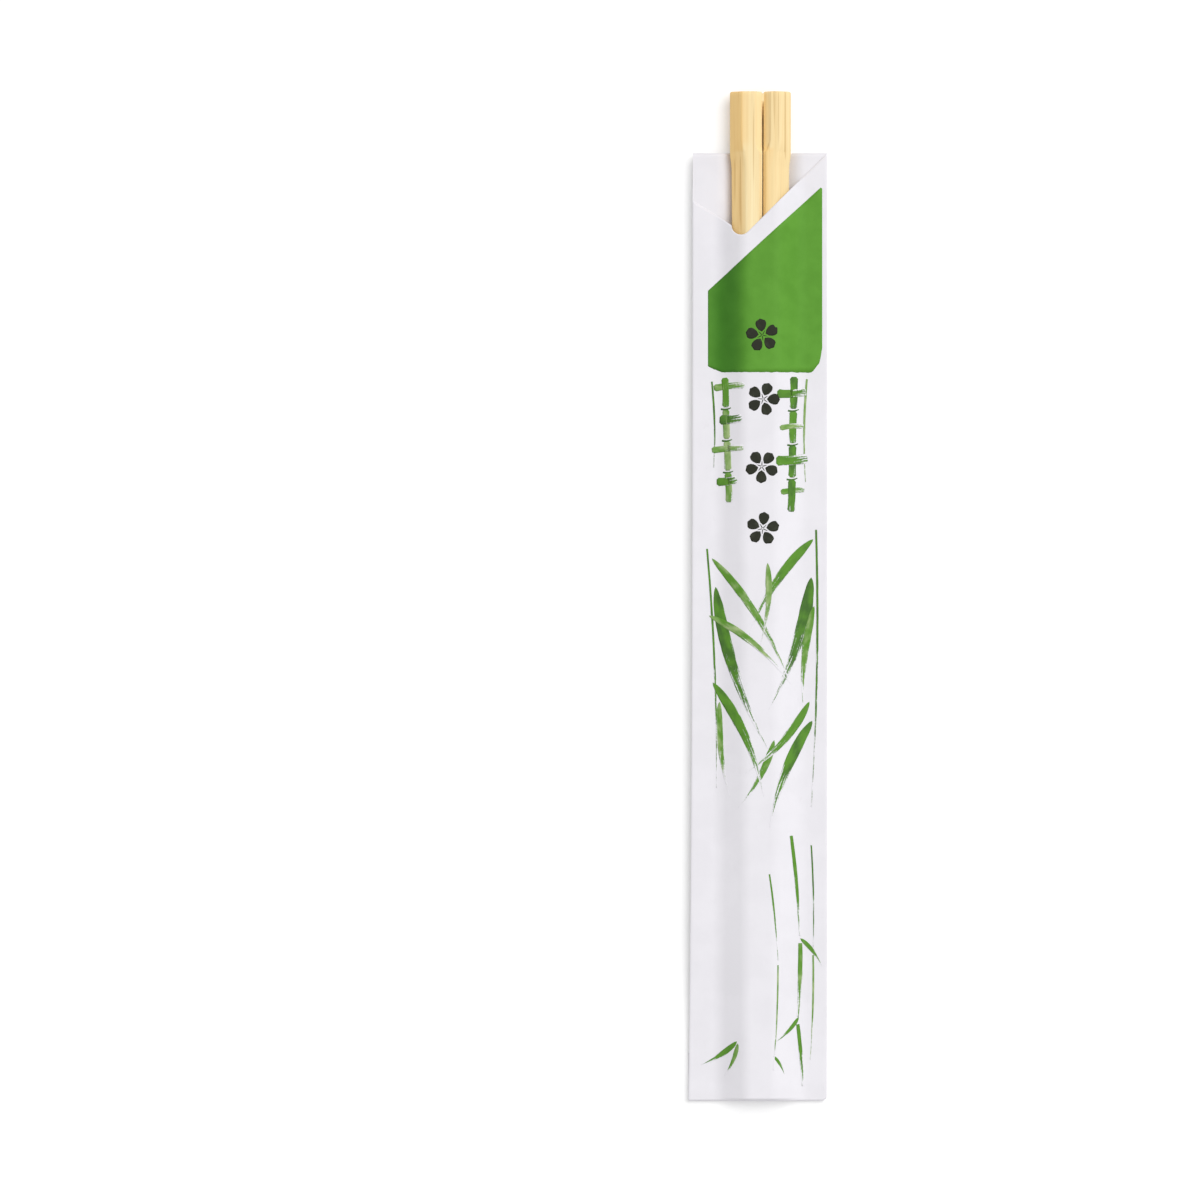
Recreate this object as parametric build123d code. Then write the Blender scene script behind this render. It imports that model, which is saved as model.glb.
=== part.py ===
from build123d import *

import os
from math import asin, atan2, cos, degrees, hypot, pi, tan

# A joined pair of disposable bamboo chopsticks, lying in its open-mouthed paper sleeve.
# X runs to the right across the sleeve, Y along the sticks towards their handle ends, Z up.
# The origin is under the middle of the whole, on the surface that it lies on. Millimetres.

# ---- The pair of sticks ----
stick_length = 210.0
head_width = 12.75  # across both sticks, at the handle end
neck_width = 12.05  # across both sticks, just below the head
tip_width = 10.0  # across both sticks, at the eating end
head_thickness = 5.0
tip_thickness = 4.0
head_length = 12.5  # the block that still joins the two sticks
shoulder_length = 4.0  # over which the head narrows to the neck
head_edge_radius = 2.1  # rounding of the outer long edges
tip_edge_radius = 1.8
end_inset = 0.35  # how far the handle end's rim is eased
end_ease = 0.4  # and over what length
tip_inset = 0.6
tip_ease = 1.4

# ---- The groove and saw cut between the sticks ----
groove_offset_head = 0.5  # from the middle of the pair, to the right
groove_offset_tip = 0.2
groove_width_head = 3.4
groove_width_body = 1.7
groove_depth_head = 1.5
groove_depth_body = 0.6
groove_runout = 3.0  # over which the head's deep groove fades into the body's
kerf_width = 0.4
kerf_start_top = 0.4  # below the handle end, where the saw disc crossed the level of the top
kerf_start_under = 13.0  # and of the underside
saw_radius = 40.0
kerf_flare_width = 1.3  # at the very tips
kerf_flare_length = 1.6

# ---- The paper sleeve ----
paper = 0.1
head_showing = 12.8  # how much of the sticks stands out of the sleeve
end_gap = 1.2  # from the tips to the folded end
sleeve_width = 28.9  # across the folded foot
mouth_narrowing = 0.85  # the thicker sticks draw the left fold in by this much at the mouth
pair_shift = 0.55  # the pair lies this far right of the foot's middle
crease_run_mouth = 2.75  # from a stick's side to the crease where the two plies meet
crease_run_foot = 4.4
crease_lift = 1.7  # height of the side creases above the back ply
roof_clearance = 0.08  # between the sticks' top and the front ply
side_clearance = 0.15  # between the sticks' rounded sides and the plies
seam_width = 8.0  # glued overlap down the middle of the back
foot_flap = 10.0  # the end of the tube, folded back and glued under it
foot_flap_plies = 3  # two plies and the seam's third
mouth_straight = 30.0  # below the mouth, over which the creases stay level
foot_settle = 26.0  # above the flap, over which the creases come down to it
foot_lift = 0.0  # height of the creases above the back ply there
fold_height = 0.3  # between the plies, just inside the folded end
foot_corner = 1.0  # the foot's two corners are worn round by this radius
seam_margin = 0.2  # flat back ply on each side of the seam, at least

# ---- The cut mouth of the front ply, seen from above ----
mouth_slant = 16.55  # how far the 45 degree edge comes down from the right corner
notch_radius = 2.0  # rounded bottom of the cut
shelf_run = 2.4  # steeper edge over the left stick's side
shelf_rise = 1.7
flange_rise = 3.55  # gentler edge over the left flange, up to the fold

overall_length = stick_length + end_gap
top_y = overall_length / 2
tip_y = top_y - stick_length
foot_y = -overall_length / 2
mouth_y = top_y - head_showing
neck_y = top_y - head_length - shoulder_length
flap_y = foot_y + foot_flap
flap_thickness = foot_flap_plies * paper
back_bottom = flap_thickness
rest_z = back_bottom + paper  # the sticks lie on the back ply here
right_edge = sleeve_width / 2


def blend(a, b, share):
    """The value that lies this share of the way from a to b."""
    return a + (b - a) * share


def across(y):
    """A plane across the sticks at this y, with its own X along X and its own Y along Z."""
    return Plane(origin=(0, y, 0), x_dir=(1, 0, 0), z_dir=(0, -1, 0))


def taper_share(y):
    """How far down the sticks this y is: 0 below the head, 1 at the tips."""
    return min(max((neck_y - y) / (neck_y - tip_y), 0), 1)


def pair_width(y):
    below_head = top_y - head_length - y
    if below_head <= 0:
        return head_width
    if below_head < shoulder_length:
        eased = (1 - cos(pi * below_head / shoulder_length)) / 2
        return blend(head_width, neck_width, eased)
    return blend(neck_width, tip_width, taper_share(y))


def pair_thickness(y):
    return blend(head_thickness, tip_thickness, (top_y - y) / stick_length)


def edge_radius(y):
    asked = blend(head_edge_radius, tip_edge_radius, (top_y - y) / stick_length)
    return min(asked, 0.46 * pair_thickness(y))


def groove_x(y):
    share = (top_y - y) / stick_length
    return pair_shift + blend(groove_offset_head, groove_offset_tip, share)


def pair_section(y, inset=0.0):
    """Both sticks as one rounded bar, across the grain."""
    width = pair_width(y) - 2 * inset
    thickness = pair_thickness(y) - 2 * inset
    radius = min(edge_radius(y), 0.46 * thickness)
    middle = rest_z + pair_thickness(y) / 2
    return across(y) * Pos(pair_shift, middle) * RectangleRounded(width, thickness, radius)


def groove_cut(face):
    """The V groove down one face: +1 is the top, -1 the bottom. It is deep in the head."""
    head_end = top_y - head_length
    sections = []
    stations = [(top_y + 1, 0), (head_end + groove_runout, 0)]
    for step in (1, 2, 3):
        share = (1 - cos(pi * step / 3)) / 2
        stations.append((head_end + groove_runout * (1 - step / 3), share))
    stations.append((tip_y - 1, 1))
    for y, share in stations:
        half = blend(groove_width_head, groove_width_body, share) / 2
        depth = blend(groove_depth_head, groove_depth_body, share)
        middle = rest_z + pair_thickness(y) / 2
        surface = middle + face * pair_thickness(y) / 2
        spread = half * (depth + 1) / depth
        points = [
            (groove_x(y) - spread, surface + face),
            (groove_x(y), surface - face * depth),
            (groove_x(y) + spread, surface + face),
        ]
        sections.append(across(y) * make_face(Polyline(*points, close=True)))
    return loft(sections, ruled=True)


def kerf_cut():
    """The saw cut that parts the sticks as far as the web the saw disc left in the head."""
    above, below = rest_z + head_thickness + 1, rest_z - 1
    rise = (kerf_start_under - kerf_start_top) / head_thickness
    upper_end = (top_y - kerf_start_top + rise, above)
    under_end = (top_y - kerf_start_under - rise, below)
    profile = [
        RadiusArc(upper_end, under_end, saw_radius),
        Polyline(under_end, (tip_y - 1, below), (tip_y - 1, above), upper_end),
    ]
    slot = Plane.YZ * extrude(make_face(profile), kerf_width / 2, both=True)
    lean = degrees(atan2(groove_x(top_y) - groove_x(tip_y), stick_length))
    flare = Polyline(
        (groove_x(tip_y), tip_y + kerf_flare_length),
        (groove_x(tip_y) + kerf_flare_width, tip_y - kerf_flare_length),
        (groove_x(tip_y) - kerf_flare_width, tip_y - kerf_flare_length),
        close=True,
    )
    middle = (groove_x(top_y) + groove_x(tip_y)) / 2
    slot = Pos(middle, (top_y + tip_y) / 2) * Rot(0, 0, -lean) * Pos(0, -(top_y + tip_y) / 2) * slot
    return slot + extrude(make_face(flare), above)


def make_pair():
    """The two sticks, still one piece of bamboo at the head."""
    sections = [
        pair_section(top_y, end_inset),
        pair_section(top_y - end_ease),
        pair_section(top_y - head_length),
    ]
    for step in (1, 2, 3):
        sections.append(pair_section(top_y - head_length - shoulder_length * step / 3))
    sections.append(pair_section(tip_y + tip_ease))
    sections.append(pair_section(tip_y, tip_inset))
    bar = loft(sections, ruled=True)
    return bar - groove_cut(1) - groove_cut(-1) - kerf_cut()


def sleeve_share(y):
    """How far down the sleeve this y is: 0 at the mouth, 1 at the foot."""
    return (mouth_y - y) / (mouth_y - foot_y)


def left_edge(y):
    """X of the left fold. The right fold is straight, and this one spreads near the foot."""
    return -right_edge + mouth_narrowing * (1 - sleeve_share(y) ** 3)


def corner_half(crease_half, round_half, radius, rise):
    """How far from the middle a ply's slope meets its level stretch, before they are rounded.
    It rises this far from its crease and just touches the rounding of the stick's side."""
    if rise == 0:
        return round_half
    out = crease_half - round_half
    slope = asin(radius / hypot(out, rise - radius)) + atan2(rise - radius, out)
    return crease_half - rise / tan(slope)


def tube_section(y, lift, skin, inside):
    """A section of the tube: its inside as one lens, or its outside with the two flanges.
    Lift is the creases' height over the back ply, and inside the height between the plies."""
    side = pair_width(y) / 2
    run = blend(crease_run_mouth, crease_run_foot, sleeve_share(y))
    crease_half = min(side, neck_width / 2) + run
    radius = edge_radius(y) + side_clearance
    round_half = side + side_clearance - radius
    top_half = corner_half(crease_half, round_half, radius, inside - lift)
    bend_half = corner_half(crease_half, round_half, radius, lift) + side_clearance
    flat_half = max(bend_half, seam_width / 2 + seam_margin)
    crease_z = rest_z + lift
    top = rest_z + inside + skin
    bottom = rest_z - skin
    left, right = pair_shift - crease_half, pair_shift + crease_half
    roof = [(pair_shift - top_half, top), (pair_shift + top_half, top)]
    floor = [(pair_shift + flat_half, bottom), (pair_shift - flat_half, bottom)]
    if skin == 0:
        outline = [(left, crease_z), *roof, (right, crease_z), *floor]
    else:
        over, under = crease_z + skin, crease_z - skin
        outline = [(left_edge(y), under), (left_edge(y), over), (left, over), *roof]
        outline += [(right, over), (right_edge, over), (right_edge, under), (right, under)]
        outline += [*floor, (left, under)]
    face = make_face(Polyline(*outline, close=True))
    corners = face.vertices().sort_by(Axis.Y)[-2:]
    return across(y) * fillet(corners, radius + skin)


def tube(skin, end_y):
    """The tube's outside or inside, lofted from the mouth to its folded end."""
    last_full = tip_y - side_clearance
    stations = [
        (mouth_y + (0 if skin else 1), crease_lift),
        (neck_y, crease_lift),
        (mouth_y - mouth_straight, crease_lift),
        (flap_y + foot_settle, crease_lift),
        (flap_y, foot_lift),
        (last_full, foot_lift),
    ]
    sections = []
    for y, lift in stations:
        sections.append(tube_section(y, lift, skin, pair_thickness(y) + roof_clearance))
    sections.append(tube_section(end_y, foot_lift, skin, fold_height))
    return loft(sections, ruled=True)


def mouth_cut():
    """Everything above the creases, down to the cut edge of the front ply."""
    corner = Vector(right_edge, mouth_y)
    slant_end = corner - Vector(mouth_slant, mouth_slant)
    centre = slant_end + Vector(-1, 1).normalized() * notch_radius
    notch_end = centre - Vector(notch_radius, 0)
    shelf = notch_end + Vector(-shelf_run, shelf_rise)
    fold = Vector(left_edge(mouth_y), shelf.Y + flange_rise)
    beyond = Vector(1, 1)
    edges = [
        Line(corner + beyond, slant_end),
        ThreePointArc(slant_end, centre - Vector(0, notch_radius), notch_end),
        Polyline(
            notch_end,
            shelf,
            fold,
            (fold.X - 1, fold.Y),
            (fold.X - 1, mouth_y + 1),
            corner + beyond,
        ),
    ]
    outline = make_face(edges)
    return Pos(0, 0, rest_z + crease_lift) * extrude(outline, head_thickness + 1)


def corner_cut(side):
    """What the worn corner of the foot lacks: +1 is the right one, -1 the left."""
    square = Pos(side * (right_edge - foot_corner / 2), foot_y + foot_corner / 2) * Rectangle(
        foot_corner, foot_corner
    )
    inner = Pos(side * (right_edge - foot_corner), foot_y + foot_corner) * Circle(foot_corner)
    return extrude(square - inner, head_thickness)


def make_sleeve():
    """One sheet of paper: a glued tube, folded and glued at its foot, cut open at its mouth."""
    outside = tube(paper, foot_y)
    seam = Pos(pair_shift, (mouth_y + foot_y) / 2, back_bottom - paper / 2) * Box(
        seam_width, mouth_y - foot_y, paper
    )
    flap = Pos(0, foot_y + foot_flap / 2, flap_thickness / 2) * Box(
        sleeve_width, foot_flap, flap_thickness
    )
    whole = outside + seam + flap - tube(0, foot_y + paper) - mouth_cut()
    return whole - corner_cut(1) - corner_cut(-1)


os.makedirs("parts", exist_ok=True)
export_step(make_pair(), "parts/chopstick_pair.step")
export_step(make_sleeve(), "parts/sleeve.step")
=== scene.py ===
import math
import random

import bmesh
import bpy
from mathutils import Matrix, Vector, noise


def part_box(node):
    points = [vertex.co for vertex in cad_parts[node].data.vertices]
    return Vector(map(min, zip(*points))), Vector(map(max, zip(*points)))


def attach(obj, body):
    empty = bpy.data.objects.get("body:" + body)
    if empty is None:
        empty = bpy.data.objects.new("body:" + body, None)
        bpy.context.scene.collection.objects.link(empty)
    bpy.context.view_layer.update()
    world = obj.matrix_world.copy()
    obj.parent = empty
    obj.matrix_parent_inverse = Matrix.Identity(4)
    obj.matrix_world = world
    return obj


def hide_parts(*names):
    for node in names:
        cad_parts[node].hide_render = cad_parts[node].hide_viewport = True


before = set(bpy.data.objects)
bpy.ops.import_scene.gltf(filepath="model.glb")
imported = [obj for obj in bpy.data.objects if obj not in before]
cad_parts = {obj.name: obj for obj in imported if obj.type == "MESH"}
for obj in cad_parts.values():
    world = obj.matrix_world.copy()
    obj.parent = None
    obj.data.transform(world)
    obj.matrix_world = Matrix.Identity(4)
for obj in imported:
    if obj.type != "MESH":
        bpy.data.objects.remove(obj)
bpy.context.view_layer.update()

# A joined pair of bamboo chopsticks in a printed paper sleeve, lying on a table.
# Lengths are in millimetres until a vertex is placed. X is across the sleeve, Y along the
# sticks towards their handle ends, Z up from the table.
MM = 0.001

pair_low, pair_high = (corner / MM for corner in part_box("chopstick_pair"))
sleeve_low, sleeve_high = (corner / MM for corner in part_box("sleeve"))
handle_y, tip_y = pair_high.y, pair_low.y
mouth_y, foot_y = sleeve_high.y, sleeve_low.y
right_fold, foot_left = sleeve_high.x, sleeve_low.x
pair_x = (pair_low.x + pair_high.x) / 2
rest_z = pair_low.z
head_half = (pair_high.x - pair_low.x) / 2

# ---- The sticks ----
neck_half, tip_half = 6.025, 5.0
head_length, shoulder_length = 12.5, 4.0
head_thickness, tip_thickness = 5.0, 4.0
neck_y = handle_y - head_length - shoulder_length
stick_length = handle_y - tip_y
web_half = 0.24

# ---- The sleeve ----
ply = 0.07
back_z = rest_z - 0.04  # middle of the back ply
seam_z = rest_z - 0.14
flap_z = {"back": 0.185, "seam": 0.11, "front": 0.035}
seam_half = 4.0
flap_length = 10.0
foot_roll = 0.7  # the folded end is a soft roll, this much higher than its plies
mouth_narrowing = 0.85
front_start = 60.0  # the rows above this bunch up to follow the front ply's cut edge
crease_lift = 1.7
slant_drop, notch_radius = 16.55, 2.0
slant_end = Vector((right_fold - slant_drop, mouth_y - slant_drop))
notch_centre = slant_end + Vector((-1, 1)).normalized() * notch_radius
notch_left = notch_centre.x - notch_radius
shelf = Vector((notch_left - 2.4, notch_centre.y + 1.7))
left_fold = foot_left + mouth_narrowing
fold_top = Vector((left_fold, shelf.y + 3.55))


def blend(a, b, share):
    return a + (b - a) * share


def clamp(value, low=0.0, high=1.0):
    return min(max(value, low), high)


def ease(share):
    share = clamp(share)
    return share * share * (3 - 2 * share)


def through(x, points):
    """The height at x of the line through these points, which go from left to right."""
    for (x0, y0), (x1, y1) in zip(points, points[1:]):
        if x <= x1:
            return blend(y0, y1, clamp((x - x0) / (x1 - x0)))
    return points[-1][1]


def wander(x, y, size, seed):
    """A smooth random number, about -1 to 1, that changes over this many millimetres."""
    return noise.noise(Vector((x / size, y / size, seed * 7.31)))


# ---- Shape of the sticks ----
def taper(y):
    return clamp((neck_y - y) / (neck_y - tip_y))


def pair_half(y):
    below_head = handle_y - head_length - y
    if below_head < shoulder_length:
        eased = (1 - math.cos(math.pi * clamp(below_head / shoulder_length))) / 2
        return blend(head_half, neck_half, eased)
    return blend(neck_half, tip_half, taper(y))


def thickness(y):
    return blend(head_thickness, tip_thickness, (handle_y - y) / stick_length)


def groove_x(y):
    return pair_x + blend(0.5, 0.2, (handle_y - y) / stick_length)


def groove_share(y):
    """1 in the head's deep groove, 0 below it, with a rounded run-out between."""
    return math.sqrt(1 - (1 - clamp((y - (handle_y - head_length)) / 3.0)) ** 2)


# ---- Shape of the sleeve ----
def sleeve_share(y):
    return clamp((mouth_y - y) / (mouth_y - foot_y))


def settle(y):
    """1 where the side folds stand clear of the table, 0 where they lie flat at the foot."""
    return ease((y - (foot_y + flap_length)) / 26.0)


def ramp(distance, width):
    """0, then a rounded start over the width, then a straight rise of 1 in 1."""
    return 0.5 * clamp(distance + width / 2, 0, width) ** 2 / width + max(distance - width / 2, 0)


def crease_half(y):
    return min(pair_half(y), neck_half) + blend(2.35, 3.6, sleeve_share(y))


def roof_half(y):
    return min(pair_half(y), neck_half) - blend(2.3, 1.95, sleeve_share(y))


def flange_z(y):
    """Height of the two plies where they lie together outside the creases."""
    lifted = rest_z + crease_lift + 0.35 * math.exp(-(((y - 5) / 38) ** 2))
    return blend(rest_z + foot_roll, lifted, settle(y))


def foot_drop(y):
    """1 along the sleeve, easing to 0 at the folded end beyond the tips."""
    return math.sqrt(1 - (1 - clamp((y - (foot_y + 0.1)) / 0.7)) ** 2)


def front_z(x, y):
    """Height of the middle of the front ply."""
    roof_z = rest_z + thickness(max(y, tip_y)) + 0.07
    low_z = flange_z(y) + 0.045
    out = abs(x - pair_x)
    crease, roof = crease_half(y), roof_half(y)
    rise = (roof_z - low_z) * blend(0.3, 1, foot_drop(y))
    steep = rise / (crease - roof)
    z = low_z + steep * (ramp(crease - out, 2.8) - ramp(roof - out, 2.2))
    loose = clamp(1 - abs(out - (crease + roof) / 2) / 4.5) * settle(y)
    z += 0.12 * loose * wander(x * 1.5, y, 24, 1 if x < pair_x else 2)
    return z


def back_ply_z(x, y):
    """Height of the middle of the back ply: flat under the sticks, up to the folds outside."""
    out = abs(x - pair_x)
    high_z = flange_z(y) - 0.045
    crease = crease_half(y)
    steep = (high_z - back_z) / (crease - 4.6)
    return back_z + max(steep, 0) * (ramp(out - 4.6, 1.6) - ramp(out - crease, 0.5))


def mouth_edge(x):
    """Y of the front ply's cut edge."""
    if x >= slant_end.x:
        return mouth_y - (right_fold - x)
    if x > notch_left:
        return notch_centre.y - math.sqrt(max(notch_radius**2 - (x - notch_centre.x) ** 2, 0))
    return through(x, [tuple(fold_top), tuple(shelf), (notch_left, notch_centre.y)])


def fold_shift(x, y):
    """How far left the sheet's columns move down the sleeve, where the left fold spreads."""
    return -mouth_narrowing * sleeve_share(y) ** 3 * clamp((-9.5 - x) / (-9.5 - left_fold))


def foot_edge(x):
    """Y of the folded end, with its two corners worn round."""
    past = clamp(abs(x) - (right_fold - 1.0), 0, 1)
    return foot_y + ply / 2 + 1 - math.sqrt(1 - past**2)


# ---- Making pieces ----
def finish_piece(bm, name, node, materials, smooth_angle=40):
    """Turns a bmesh into a piece that rides on the one body."""
    mesh = bpy.data.meshes.new(name)
    for face in bm.faces:
        face.smooth = True
    bm.to_mesh(mesh)
    bm.free()
    mesh.set_sharp_from_angle(angle=math.radians(smooth_angle))
    piece = bpy.data.objects.new(name, mesh)
    bpy.context.collection.objects.link(piece)
    for material in materials:
        mesh.materials.append(material)
    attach(piece, "root")
    if node:
        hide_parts(node)
    return piece


def add_grid(bm, columns, rows, place):
    """Adds a grid of this many columns and rows. Place turns a column and row into a point."""
    made = bmesh.ops.create_grid(bm, x_segments=columns - 1, y_segments=rows - 1, size=0.5)
    for vert in made["verts"]:
        column = round((vert.co.x + 0.5) * (columns - 1))
        row = round((vert.co.y + 0.5) * (rows - 1))
        vert.co = Vector(place(column, row)) * MM
    return made["verts"]


def give_thickness(piece, amount, offset):
    solid = piece.modifiers.new("thickness", "SOLIDIFY")
    solid.thickness = amount * MM
    solid.offset = offset
    solid.use_even_offset = False


# ---- Materials ----
def add(tree, kind, sockets=None, **settings):
    """A new node. A socket takes a plain value or another node's output."""
    made = tree.nodes.new("ShaderNode" + kind)
    for name, value in settings.items():
        setattr(made, name, value)
    for name, value in (sockets or {}).items():
        socket = made.inputs[name]
        if isinstance(value, bpy.types.NodeSocket):
            tree.links.new(value, socket)
        else:
            socket.default_value = value
    return made


def mixed(tree, share, a, b, blend_type="MIX"):
    made = add(tree, "Mix", {0: share}, data_type="RGBA", blend_type=blend_type)
    for index, value in ((6, a), (7, b)):
        if isinstance(value, bpy.types.NodeSocket):
            tree.links.new(value, made.inputs[index])
        else:
            made.inputs[index].default_value = value
    return made.outputs[2]


def spread(tree, value, low, high, out_low=0.0, out_high=1.0):
    """Value between low and high, spread over the new range."""
    sockets = {"Value": value, "From Min": low, "From Max": high}
    sockets.update({"To Min": out_low, "To Max": out_high})
    return add(tree, "MapRange", sockets, interpolation_type="SMOOTHSTEP").outputs["Result"]


def math_node(tree, operation, a, b=0.0):
    return add(tree, "Math", {0: a, 1: b}, operation=operation).outputs[0]


def speckle(tree, vector, scale, detail=2.0, rough=0.5, stretch=(1, 1, 1), distort=0.0):
    moved = add(tree, "Mapping", {"Vector": vector, "Scale": stretch}).outputs[0]
    sockets = {"Vector": moved, "Scale": scale, "Detail": detail, "Roughness": rough}
    sockets["Distortion"] = distort
    return add(tree, "TexNoise", sockets).outputs["Fac"]


def rgb(red, green, blue):
    """A colour given as 0 to 255 values, made linear."""
    linear = []
    for level in (red, green, blue):
        share = level / 255
        linear.append(share / 12.92 if share <= 0.04045 else ((share + 0.055) / 1.055) ** 2.4)
    return (*linear, 1.0)


def new_material(name, roughness, specular):
    material = bpy.data.materials.new(name)
    material.use_nodes = True
    tree = material.node_tree
    shader = tree.nodes["Principled BSDF"]
    shader.inputs["Roughness"].default_value = roughness
    shader.inputs["Specular IOR Level"].default_value = specular
    return material, tree, shader


PAPER_LIGHT, PAPER_SHADE = rgb(238, 236, 241), rgb(235, 233, 238)


def make_paper():
    material, tree, shader = new_material("sleeve_paper", 0.7, 0.25)
    here = add(tree, "TexCoord").outputs["Object"]
    cloudy = spread(tree, speckle(tree, here, 160, 3), 0.35, 0.65)
    fibres = speckle(tree, here, 1100, 4, 0.7, (1, 0.35, 1), 0.6)
    colour = mixed(tree, cloudy, PAPER_SHADE, PAPER_LIGHT)
    flecks = spread(tree, fibres, 0.62, 0.8, 0, 0.35)
    colour = mixed(tree, flecks, colour, rgb(224, 221, 224))
    tree.links.new(colour, shader.inputs["Base Color"])
    bump = add(tree, "Bump", {"Height": fibres, "Strength": 0.18, "Distance": 0.03 * MM})
    tree.links.new(bump.outputs[0], shader.inputs["Normal"])
    return material


def make_bamboo():
    material, tree, shader = new_material("bamboo_face", 0.55, 0.3)
    here = add(tree, "TexCoord").outputs["Object"]
    broad = speckle(tree, here, 1, 2, 0.5, (420, 14, 420))
    fine = speckle(tree, here, 1, 3, 0.6, (2600, 45, 2600), 0.4)
    lines = speckle(tree, here, 1, 1, 0.5, (1500, 22, 1500))
    colour = mixed(tree, spread(tree, broad, 0.3, 0.7), rgb(249, 222, 166), rgb(255, 236, 188))
    colour = mixed(tree, spread(tree, fine, 0.35, 0.75, 0, 0.4), colour, rgb(234, 200, 140))
    colour = mixed(tree, spread(tree, lines, 0.62, 0.7, 0, 0.55), colour, rgb(206, 168, 108))
    # Painted shade: the sides facing away from the key light (the left stick's outer facet and the
    # right stick's groove wall) are multiplied darker and warmer.
    painted_side_shade = add(tree, "Attribute", attribute_name="painted_side_shade").outputs["Fac"]
    colour = mixed(tree, painted_side_shade, colour, (0.97, 0.85, 0.66, 1), "MULTIPLY")
    tree.links.new(colour, shader.inputs["Base Color"])
    bump = add(tree, "Bump", {"Height": fine, "Strength": 0.3, "Distance": 0.05 * MM})
    tree.links.new(bump.outputs[0], shader.inputs["Normal"])
    return material


def make_end_grain():
    material, tree, shader = new_material("bamboo_end_grain", 0.7, 0.2)
    here = add(tree, "TexCoord").outputs["Object"]
    dots = add(tree, "TexVoronoi", {"Vector": here, "Scale": 2400}).outputs["Distance"]
    cloudy = speckle(tree, here, 700, 2)
    colour = mixed(tree, cloudy, rgb(222, 186, 128), rgb(240, 212, 158))
    colour = mixed(tree, spread(tree, dots, 0.28, 0.12), colour, rgb(168, 124, 72))
    tree.links.new(colour, shader.inputs["Base Color"])
    bump = add(tree, "Bump", {"Height": dots, "Strength": 0.3, "Distance": 0.05 * MM})
    tree.links.new(bump.outputs[0], shader.inputs["Normal"])
    return material


def make_ink(name, pale, full, dark, gaps):
    """Brushed ink. Along is millimetres along a stroke and across it; load is how full the
    brush is, and tone goes from pale to dark."""
    material, tree, shader = new_material(name, 0.6, 0.2)
    along = add(tree, "UVMap", uv_map="stroke").outputs[0]
    here = add(tree, "TexCoord").outputs["Object"]
    load = add(tree, "Attribute", attribute_name="load").outputs["Fac"]
    tone = add(tree, "Attribute", attribute_name="tone").outputs["Fac"]
    bristles = speckle(tree, along, 1, 2, 0.55, (0.22, 3.4, 1))
    grain = speckle(tree, here, 2600, 2, 0.6)
    wet = speckle(tree, along, 1, 2, 0.5, (0.35, 0.7, 1))
    ragged = math_node(tree, "ADD", math_node(tree, "MULTIPLY", bristles, 0.75),
                       math_node(tree, "MULTIPLY", grain, 0.25))
    cover = math_node(tree, "SUBTRACT", math_node(tree, "ADD", load, ragged), gaps)
    cover = spread(tree, cover, 0.42, 0.58)
    shade = math_node(tree, "ADD", tone, math_node(tree, "MULTIPLY",
                      math_node(tree, "SUBTRACT", wet, 0.5), 0.9))
    colour = mixed(tree, spread(tree, shade, 0.0, 0.5), pale, full)
    colour = mixed(tree, spread(tree, shade, 0.5, 1.0), colour, dark)
    colour = mixed(tree, cover, PAPER_LIGHT, colour)
    tree.links.new(colour, shader.inputs["Base Color"])
    bump = add(tree, "Bump", {"Height": cover, "Strength": 0.15, "Distance": 0.02 * MM})
    tree.links.new(bump.outputs[0], shader.inputs["Normal"])
    return material


def make_panel_ink():
    material, tree, shader = new_material("printed_panel_ink", 0.6, 0.2)
    here = add(tree, "TexCoord").outputs["Object"]
    cloudy = spread(tree, speckle(tree, here, 260, 3), 0.3, 0.7)
    grain = speckle(tree, here, 2200, 3, 0.65)
    colour = mixed(tree, cloudy, rgb(90, 150, 46), rgb(97, 158, 52))
    colour = mixed(tree, spread(tree, grain, 0.62, 0.78, 0, 0.5), colour, rgb(106, 166, 64))
    colour = mixed(tree, spread(tree, grain, 0.4, 0.25, 0, 0.4), colour, rgb(80, 138, 38))
    # Painted shade: the green is multiplied darker in a band across the bulge's left slope, from
    # about 11 mm to 0.5 mm left of the middle, where the slope faces away from the key light.
    across = add(tree, "SeparateXYZ", {0: here}).outputs["X"]
    deep = math_node(tree, "MULTIPLY", spread(tree, across, -0.0113, -0.0072, 0.45, 1),
                     spread(tree, across, -0.0005, -0.0058))
    colour = mixed(tree, deep, colour, (0.42, 0.57, 0.42, 1), "MULTIPLY")
    tree.links.new(colour, shader.inputs["Base Color"])
    bump = add(tree, "Bump", {"Height": grain, "Strength": 0.12, "Distance": 0.02 * MM})
    tree.links.new(bump.outputs[0], shader.inputs["Normal"])
    return material


paper = make_paper()
bamboo, end_grain = make_bamboo(), make_end_grain()
GREENS = rgb(176, 196, 140), rgb(92, 144, 46), rgb(66, 104, 44)
BLACKS = rgb(70, 74, 60), rgb(34, 37, 25), rgb(26, 28, 18)
green_ink = make_ink("printed_green_ink", *GREENS, gaps=0.6)
black_ink = make_ink("printed_black_ink", *BLACKS, gaps=0.45)
panel_ink = make_panel_ink()


# ---- The sleeve: one sheet, glued into a tube and folded under at its foot ----
def spaced(stops):
    """Values through these (value, most spacing after it) stops."""
    values = []
    for (start, step), (end, _) in zip(stops, stops[1:]):
        count = max(1, math.ceil(abs(end - start) / step))
        values += [blend(start, end, share / count) for share in range(count)]
    return [*values, stops[-1][0]]


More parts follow.
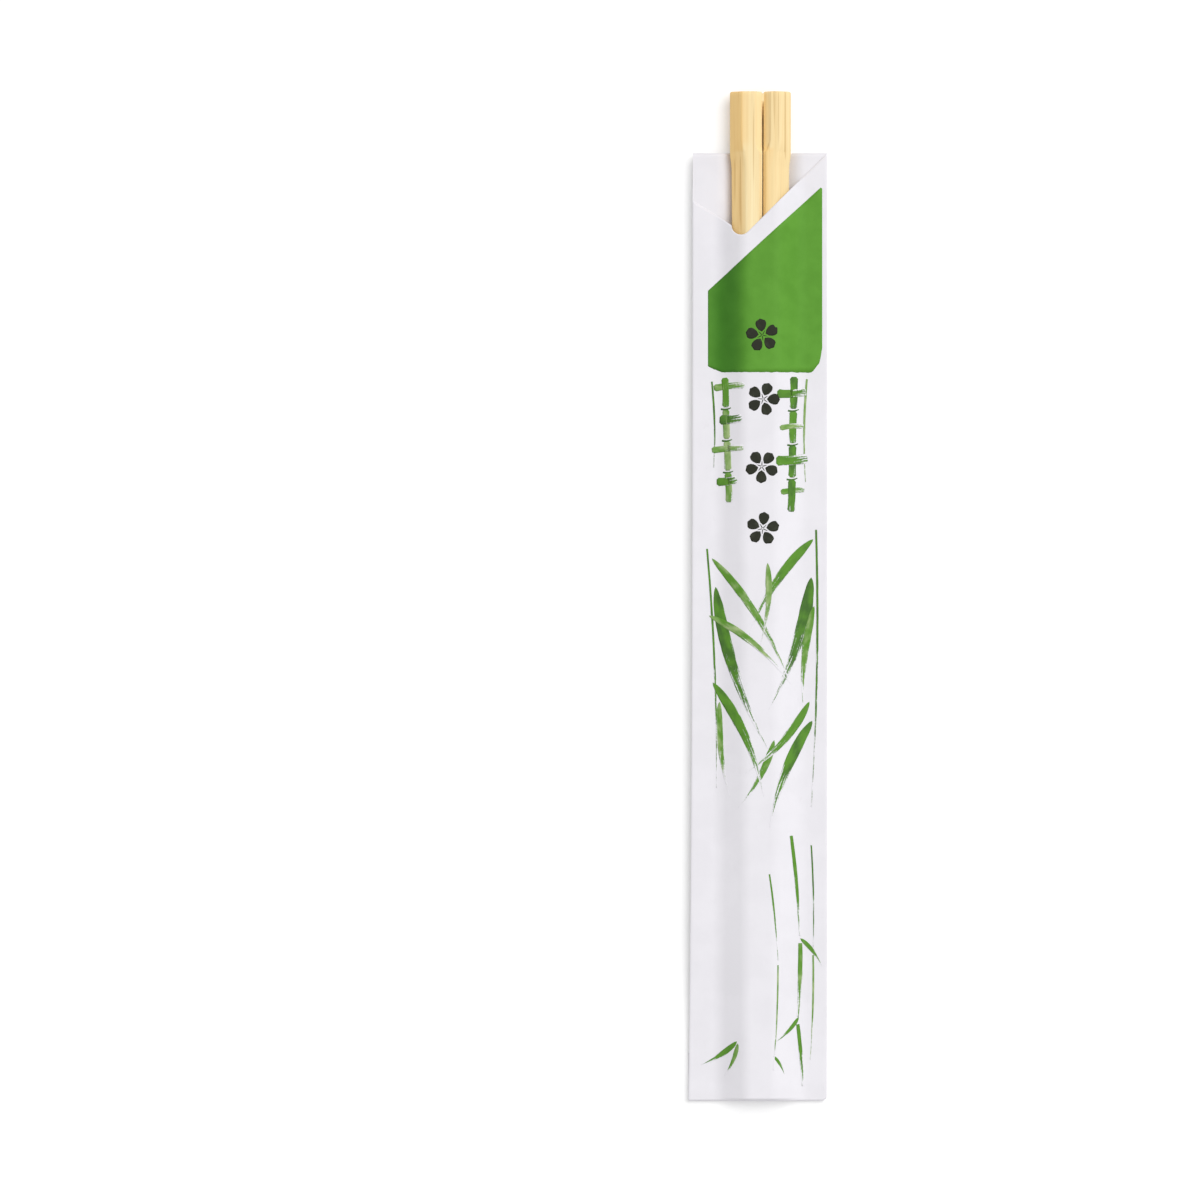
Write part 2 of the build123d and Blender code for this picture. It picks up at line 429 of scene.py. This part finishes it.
def sheet_columns():
    """The sheet's columns round the tube as (place, x), from the seam's inner edge, left
    across the back, over the front and back along the underside to the seam's outer edge."""
    inner, outer = pair_x + seam_half, pair_x - seam_half
    back_stops = [(inner, 1), (left_fold + 1, 0.4), (left_fold + 0.05, 1)]
    back = [("back", x) for x in spaced(back_stops)]
    stops = [(left_fold + 0.05, 0.4), (left_fold + 1, 0.75), (-9.9, 0.35), (shelf.x, 0.3)]
    stops += [(notch_left, 0.08), (notch_left + 0.3, 0.2), (slant_end.x, 0.4), (2.4, 0.35)]
    stops += [(11.2, 0.7), (right_fold - 1, 0.4), (right_fold - 0.05, 1)]
    front = [("front", x) for x in spaced(stops)]
    under_stops = [(right_fold - 0.05, 0.4), (right_fold - 1, 1), (inner + 0.6, 1)]
    under = [("back", x) for x in spaced(under_stops)]
    seam = [("seam", x) for x in spaced([(inner + 0.2, 1), (outer, 1)])]
    return [*back, ("turn", left_fold), *front, ("turn", right_fold), *under, *seam]


def sheet_rows():
    """The sheet's rows as (part, how far): down the sleeve, round the fold, back under it."""
    stops = [(mouth_y, 0.75), (front_start, 1.6), (-69, 1.0), (-96, 0.7)]
    down = spaced([*stops, (foot_y + 2, 0.1), (foot_y + 0.35, 1)])
    rows = [("down", y) for y in down]
    rows += [("fold", angle) for angle in (0, 30, 60, 90, 120, 150, 180)]
    return rows + [("flap", along) for along in spaced([(1.0, 1.2), (flap_length, 1)])]


def make_sleeve():
    columns, rows = sheet_columns(), sheet_rows()
    def heights(part, x, y):
        if part == "front":
            return front_z(x, y)
        if part == "seam":
            return seam_z
        if part == "turn":
            return flange_z(y)
        return back_ply_z(x, y)

    def place(column, row):
        part, x = columns[column]
        kind, along = rows[row]
        end_y = foot_edge(x)
        if kind == "down":
            y = along
            if part in ("front", "turn") and y > front_start:
                top = mouth_edge(x)
                y = blend(front_start, top, (y - front_start) / (mouth_y - front_start))
            y = max(y, end_y + 0.3 + (y - foot_y - 0.35) * 0.05)
            return x + fold_shift(x, y), y, heights(part, x, y)
        top = heights(part, x, foot_y + 0.35)
        under = {"front": flap_z["front"], "seam": flap_z["seam"]}.get(part, flap_z["back"])
        if part == "turn":
            under = (flap_z["front"] + flap_z["back"]) / 2
        x += fold_shift(x, foot_y)
        if kind == "flap":
            return x, max(end_y, foot_y) + along, under
        radius = (top - under) / 2
        turn = math.radians(along)
        reach = 0.3 if part == "front" else 0.15
        return x, end_y + reach - reach * math.sin(turn), under + radius + radius * math.cos(turn)

    bm = bmesh.new()
    add_grid(bm, len(columns), len(rows), place)
    bmesh.ops.recalc_face_normals(bm, faces=bm.faces)
    piece = finish_piece(bm, "paper_sleeve", "sleeve", [paper], 60)
    give_thickness(piece, ply, 0)
    return piece


# ---- The sticks ----
def rounded_section(corners, radii, steps=4):
    """Points round a convex outline, with each corner rounded by its radius."""
    points = []
    count = len(corners)
    for index, corner in enumerate(corners):
        before = (corners[index - 1] - corner).normalized()
        after = (corners[(index + 1) % count] - corner).normalized()
        half_angle = math.acos(clamp(before.dot(after), -1, 1)) / 2
        cut = radii[index] / math.tan(half_angle)
        start, end = corner + before * cut, corner + after * cut
        for step in range(steps + 1):
            t = step / steps
            points.append((1 - t) ** 2 * start + 2 * t * (1 - t) * corner + t * t * end)
    return points


def stick_section(side, y, inset=0.0):
    """One stick across its grain, as X and Z points. Side is +1 for the right one."""
    share = groove_share(y)
    wall_out, wall_down = blend(0.62, 1.5, share), blend(0.6, 1.4, share)
    slit_half = blend(0.1, 0.2, share)
    facet_out, facet_down = blend(3.0, 2.4, share), blend(2.2, 2.15, share)
    shrink = blend(1, 0.85, taper(y))
    facet_down *= shrink
    inner = side * (groove_x(y) - pair_x) + slit_half
    outer = pair_half(y)
    saw = 0.035 * wander(side * 3, y, 9, 5)
    low, high = rest_z, rest_z + thickness(y)
    inner, outer = inner + inset * 0.6, outer - inset
    low, high = low + inset, high - inset
    facet_down = min(facet_down, (high - low) / 2 - 0.25)
    facet_out = min(facet_out, outer - inner - wall_out - 0.9)
    corners = [
        (inner, low + wall_down), (inner, high - wall_down),
        (inner + wall_out + saw, high), (outer - facet_out + saw, high),
        (outer, high - facet_down), (outer, low + facet_down),
        (outer - facet_out, low), (inner + wall_out, low),
    ]
    corners = [Vector(corner) for corner in corners]
    top_radius = blend(1.2, 0.6, share)
    radii = [0.12, 0.12, 0.22, top_radius, 0.5, 0.5, top_radius, 0.22]
    return [(pair_x + side * p.x, p.y) for p in rounded_section(corners, radii)]


def web_top(y):
    """Height of the web that the saw disc left between the sticks, inside the head."""
    share = clamp((y - (handle_y - 13.0)) / 12.6)
    return rest_z + head_thickness * share**2.3


def add_web(bm):
    """The web in the saw cut, from a cube drawn out along the sticks."""
    length, groove_depth = 12.7, 1.36
    cube = bmesh.ops.create_cube(bm, size=1)["verts"]
    lengthwise = [
        edge
        for vert in cube
        for edge in vert.link_edges
        if abs(edge.verts[0].co.y - edge.verts[1].co.y) > 0.5
    ]
    bmesh.ops.subdivide_edges(bm, edges=list(set(lengthwise)), cuts=15, use_grid_fill=True)
    for vert in bm.verts:
        if vert.co.length > 0.3:  # only the cube is still this large
            y = handle_y - 0.38 - (0.5 - vert.co.y) * length
            x = groove_x(y) + web_half * (1 if vert.co.x > 0 else -1)
            low = rest_z + groove_depth
            high = clamp(web_top(y), low + 0.05, rest_z + thickness(y) - groove_depth)
            vert.co = Vector((x, y, high if vert.co.z > 0 else low)) * MM


def make_pair():
    ys = spaced([(handle_y - 0.4, 0.8), (handle_y - 8, 0.35), (neck_y - 2, 2.0), (tip_y + 1.6, 1)])
    stations = [(handle_y, 0.35), (handle_y - 0.07, 0.19), (handle_y - 0.2, 0.06)]
    stations += [(y, 0.0) for y in ys]
    stations += [(tip_y + 0.8, 0.16), (tip_y + 0.3, 0.4), (tip_y, 0.75)]
    bm = bmesh.new()
    painted_side_shade = bm.verts.layers.float.new("painted_side_shade")
    for side in (-1, 1):
        sections = [stick_section(side, y, inset) for y, inset in stations]
        count = len(sections[0])

        def place(column, row):
            x, z = sections[row][column % count]
            return x, stations[row][0], z

        verts = add_grid(bm, count + 1, len(stations), place)
        # Painted shade: 1 on the sides that face away from the key light, the left stick's outer
        # facet and the right stick's groove wall.
        for vert in verts:
            x, y = vert.co.x / MM, vert.co.y / MM
            if side < 0:
                vert[painted_side_shade] = ease((pair_x - x - pair_half(y) + 2.9) / 0.5)
            else:
                vert[painted_side_shade] = ease((groove_x(y) + 1.6 - x) / 0.5)
        bmesh.ops.remove_doubles(bm, verts=verts, dist=1e-7)
    ends = [edge for edge in bm.edges if edge.is_boundary]
    caps = bmesh.ops.holes_fill(bm, edges=ends, sides=0)["faces"]
    for face in caps:
        face.material_index = 1
    add_web(bm)
    bmesh.ops.recalc_face_normals(bm, faces=bm.faces)
    return finish_piece(bm, "bamboo_pair", "chopstick_pair", [bamboo, end_grain], 28)


# ---- The print ----
class Print:
    """Strokes of one ink, as thin films on the front ply."""

    def __init__(self, seed):
        self.bm = bmesh.new()
        self.uv = self.bm.loops.layers.uv.new("stroke")
        self.load = self.bm.verts.layers.float.new("load")
        self.tone = self.bm.verts.layers.float.new("tone")
        self.random = random.Random(seed)
        self.count = 0

    def stroke(self, start, end, width, bend=0.0, shape="leaf", tone=0.5, load=(1.0, 0.6)):
        """A brush stroke from start to end, bowed to its left by this share of its length."""
        start, end = Vector(start), Vector(end)
        along = end - start
        length = along.length
        sideways = Vector((-along.y, along.x)).normalized()
        control = (start + end) / 2 + sideways * bend * length * 2
        lift = 0.02 + 0.003 * (self.count % 7)
        slide = self.random.uniform(0, 500)
        wobble = self.random.uniform(0, 50)
        self.count += 1
        columns = max(7, math.ceil(length / 0.45))
        rows = max(5, math.ceil(width / 0.35) + 1)

        def place(column, row):
            t, u = column / (columns - 1), row / (rows - 1) * 2 - 1
            centre = (1 - t) ** 2 * start + 2 * t * (1 - t) * control + t * t * end
            tangent = ((control - start) * (1 - t) + (end - control) * t).normalized()
            normal = Vector((-tangent.y, tangent.x))
            half = width / 2 * self.profile(shape, t)
            half *= 1 + 0.1 * noise.noise(Vector((t * length / 2.5, u * 3, wobble)))
            spot = centre + normal * u * half
            z = front_z(spot.x, spot.y) + ply / 2 + lift
            return (spot.x, spot.y, z), (t * length + slide, u * half), t, u

        made = bmesh.ops.create_grid(self.bm, x_segments=columns - 1, y_segments=rows - 1, size=0.5)
        unrolled = {}
        for vert in made["verts"]:
            column = round((vert.co.x + 0.5) * (columns - 1))
            row = round((vert.co.y + 0.5) * (rows - 1))
            spot, unrolled[vert], t, u = place(column, row)
            vert.co = Vector(spot) * MM
            edge = 0.16 * (1 - abs(u)) ** 0.5
            vert[self.load] = blend(load[0], load[1], t) - 0.16 + edge
            vert[self.tone] = tone
        for vert in made["verts"]:
            for loop in vert.link_loops:
                loop[self.uv].uv = unrolled[vert]

    @staticmethod
    def profile(shape, t):
        """Width along a stroke as a share of its full width."""
        if shape == "leaf":
            return max(math.sin(math.pi * t**0.62) * (1 - 0.35 * t), 0.02)
        if shape == "petal":
            return max(math.sqrt(max(1 - (2 * t - 1) ** 2, 0)) * blend(0.62, 1.12, t), 0.05)
        if shape == "line":
            return blend(0.7, 1, math.sin(math.pi * t)) * (1 - 0.5 * t)
        flare = 0.16 * (abs(2 * t - 1) ** 4)
        return min(1, 0.9 + flare) * min(1, 0.55 + 12 * min(t, 1 - t))

    def done(self, name, material):
        bmesh.ops.recalc_face_normals(self.bm, faces=self.bm.faces)
        for face in self.bm.faces:
            if face.normal.z < 0:
                face.normal_flip()
        piece = finish_piece(self.bm, name, None, [material], 60)
        give_thickness(piece, 0.018, -1)
        return piece


def leaf(ink, x, y, angle, length, width, tone=0.5, load=(1.05, 0.7), bend=0.06):
    turn = math.radians(angle)
    end = (x + length * math.cos(turn), y + length * math.sin(turn))
    ink.stroke((x, y), end, width, bend, "leaf", tone, load)


def culm(ink, start, end, width, joints, tone):
    """A bamboo stem: bars with a gap and a thin dark line at each joint."""
    start, end = Vector(start), Vector(end)
    for index in range(joints):
        a = start.lerp(end, index / joints + 0.008)
        b = start.lerp(end, (index + 1) / joints - 0.008)
        shade = tone + ink.random.uniform(-0.15, 0.15)
        ink.stroke(a, b, width, ink.random.uniform(-0.01, 0.01), "bar", shade, (1.02, 0.74))
        if index:
            middle = start.lerp(end, index / joints)
            across = Vector((1, 0.12)) * (width / 2 + 0.3)
            ink.stroke(middle - across, middle + across, 0.5, -0.1, "line", 0.95, (1.05, 0.9))


def make_green_print():
    ink = Print(11)
    for y, left, right, width, bend, tone in (
        (43.6, -9.2, -2.8, 1.5, 0.03, 0.35), (42.4, 4.0, 10.2, 1.9, -0.03, 0.7),
        (37.0, -8.0, -3.4, 2.1, -0.04, 0.8), (35.2, 4.6, 9.6, 1.2, 0.04, 0.3),
        (30.6, -9.6, -3.0, 1.4, 0.02, 0.3), (28.4, 3.8, 10.4, 2.2, -0.02, 0.6),
        (24.0, -8.6, -4.4, 1.9, -0.03, 0.65), (21.8, 4.8, 9.8, 1.3, 0.03, 0.4),
    ):
        ink.stroke((left, y), (right, y + 0.5), width, bend, "bar", tone, (0.98, 0.62))
    culm(ink, (-6.9, 46.0), (-6.0, 19.5), 1.5, 4, 0.35)
    culm(ink, (7.6, 46.2), (7.0, 17.5), 1.7, 4, 0.6)
    ink.stroke((-9.6, 45.0), (-9.2, 27.0), 0.5, 0.02, "line", 0.8, (1.0, 0.6))
    ink.stroke((10.3, 45.5), (10.0, 24.0), 0.6, -0.02, "line", 0.3, (1.0, 0.6))
    for x, y, angle, length, width, tone, bend in (
        (-9.6, 8, -58, 31, 1.9, 0.4, 0.05), (-8.8, 2, -72, 36, 2.8, 0.75, -0.05),
        (-10.2, -4, -40, 22, 1.7, 0.3, 0.07), (-9.4, -18, -66, 26, 2.3, 0.6, 0.06),
        (-8.0, -22, -84, 20, 1.6, 0.35, -0.04), (11.6, 12, -124, 24, 2.2, 0.6, -0.06),
        (11.2, 4, -108, 29, 2.9, 0.8, 0.05), (11.8, -2, -96, 22, 1.8, 0.4, -0.04),
        (10.8, -22, -132, 20, 1.9, 0.55, 0.07), (11.4, -26, -112, 24, 2.5, 0.7, -0.05),
        (2.0, 7, -95, 17, 1.5, 0.3, 0.05), (3.4, -30, -118, 16, 1.6, 0.45, 0.06),
    ):
        leaf(ink, x, y, angle, length, width, tone, (1.02, 0.5), bend)
    for x, y, end_x, end_y, width, tone in (
        (-10.6, 10, -8.6, -40, 0.55, 0.7), (12.2, 14, 11.2, -44, 0.6, 0.75),
        (7.0, -50, 8.8, -71, 0.9, 0.55), (8.9, -72.5, 8.4, -88, 1.2, 0.4),
        (8.4, -89.5, 9.4, -102.5, 1.0, 0.6), (11.2, -52, 11.6, -74, 0.4, 0.8),
        (11.6, -75, 11.0, -97, 0.5, 0.3), (2.4, -58, 4.2, -76, 0.45, 0.5),
        (4.2, -77, 3.2, -99, 0.4, 0.3),
    ):
        ink.stroke((x, y), (end_x, end_y), width, 0.012, "line", tone, (1.0, 0.56))
    for x, y, angle, length, width, tone in (
        (-4.4, -93, -146, 9, 1.3, 0.6), (-4.2, -93.4, -112, 7.5, 1.0, 0.35),
        (8.6, -88, -134, 7, 0.9, 0.5), (8.9, -71.5, -52, 7.5, 1.0, 0.45),
        (3.3, -96, -60, 4.5, 0.7, 0.5),
    ):
        leaf(ink, x, y, angle, length, width, tone, (1.02, 0.6))
    return ink.done("bamboo_leaf_print", green_ink)


def make_blossoms():
    ink = Print(23)
    for x, y, turn in ((0.9, 54.6, 8), (1.1, 41.3, -20), (0.8, 27.2, 33), (1.0, 14.2, -6)):
        for petal in range(5):
            angle = math.radians(turn + 90 + 72 * petal)
            reach = Vector((math.cos(angle), math.sin(angle)))
            start, end = Vector((x, y)) + reach * 0.8, Vector((x, y)) + reach * 3.5
            ink.stroke(start, end, 2.5, 0.0, "petal", 0.5, (0.95, 1.0))
            speck = Vector((math.cos(angle + 0.63), math.sin(angle + 0.63)))
            start, end = Vector((x, y)) + speck * 0.15, Vector((x, y)) + speck * 1.1
            ink.stroke(start, end, 0.22, 0.0, "line", 0.6, (1.1, 1.0))
    return ink.done("blossom_print", black_ink)


def make_panel():
    left, right = -10.41, 13.5
    columns, rows = 76, 30
    top = [(left, 64.0), (13.3, 85.75), (right, 85.4)]
    bottom = [(left, 48.2), (-7.5, 46.9), (11.35, 46.9), (13.0, 49.0), (right, 52.0)]

    def place(column, row):
        x = blend(left, right, column / (columns - 1))
        rough = 0.12 * wander(x, 0, 1.1, 3) + 0.07 * wander(x, 9, 0.4, 4)
        low, high = through(x, bottom) + rough, through(x, top) + 0.04 * wander(x, 5, 2.0, 6)
        y = blend(low, high, row / (rows - 1))
        return x, y, front_z(x, y) + ply / 2 + 0.012

    bm = bmesh.new()
    add_grid(bm, columns, rows, place)
    for face in bm.faces:
        if face.normal.z < 0:
            face.normal_flip()
    piece = finish_piece(bm, "panel_print", None, [panel_ink], 60)
    give_thickness(piece, 0.018, -1)
    return piece


make_sleeve()
make_pair()
make_panel()
make_green_print()
make_blossoms()


# ---- The table, light and camera ----
def make_table():
    bm = bmesh.new()
    bmesh.ops.create_grid(bm, x_segments=8, y_segments=8, size=2.0)
    mesh = bpy.data.meshes.new("table_top")
    bm.to_mesh(mesh)
    bm.free()
    table = bpy.data.objects.new("table_top", mesh)
    bpy.context.collection.objects.link(table)
    table.location.z = -0.02 * MM
    material, tree, shader = new_material("white_table", 0.9, 0.0)
    shader.inputs["Base Color"].default_value = (0.9, 0.9, 0.9, 1)
    path = add(tree, "LightPath")
    seen = math_node(tree, "MAXIMUM", path.outputs["Is Camera Ray"], path.outputs["Is Glossy Ray"])
    seen = math_node(tree, "MAXIMUM", seen, path.outputs["Is Transmission Ray"])
    shader.inputs["Emission Color"].default_value = (1, 1, 1, 1)
    strength = math_node(tree, "MULTIPLY", seen, 0.2)
    tree.links.new(strength, shader.inputs["Emission Strength"])
    mesh.materials.append(material)


def make_light():
    world = bpy.data.worlds.new("studio")
    world.use_nodes = True
    tree = world.node_tree
    ground = tree.nodes["Background"]
    path = add(tree, "LightPath")
    seen = math_node(tree, "MAXIMUM", path.outputs["Is Camera Ray"], path.outputs["Is Glossy Ray"])
    seen = math_node(tree, "MAXIMUM", seen, path.outputs["Is Transmission Ray"])
    strength = spread(tree, seen, 0.0, 1.0, 0.56, 1.0)
    tree.links.new(strength, ground.inputs["Strength"])
    ground.inputs["Color"].default_value = (1, 1, 1, 1)
    bpy.context.scene.world = world
    lamp = bpy.data.lights.new("key", "SUN")
    lamp.energy = 1.68
    lamp.angle = math.radians(50)
    key = bpy.data.objects.new("key", lamp)
    bpy.context.collection.objects.link(key)
    side, up = math.radians(48), math.radians(54)
    towards = Vector((math.cos(side) * math.cos(up), math.sin(side) * math.cos(up), math.sin(up)))
    key.rotation_euler = towards.to_track_quat("Z", "Y").to_euler()


def make_camera():
    height = 1.6
    camera = bpy.data.objects.new("camera", bpy.data.cameras.new("camera"))
    bpy.context.collection.objects.link(camera)
    camera.data.sensor_width = 36
    camera.data.lens = 36 * height / 0.251
    camera.data.clip_end = 20
    camera.location = (-0.0330, -0.0007, height + 0.003)
    bpy.context.scene.camera = camera


make_table()
make_light()
make_camera()
bpy.context.scene.view_settings.view_transform = "Standard"
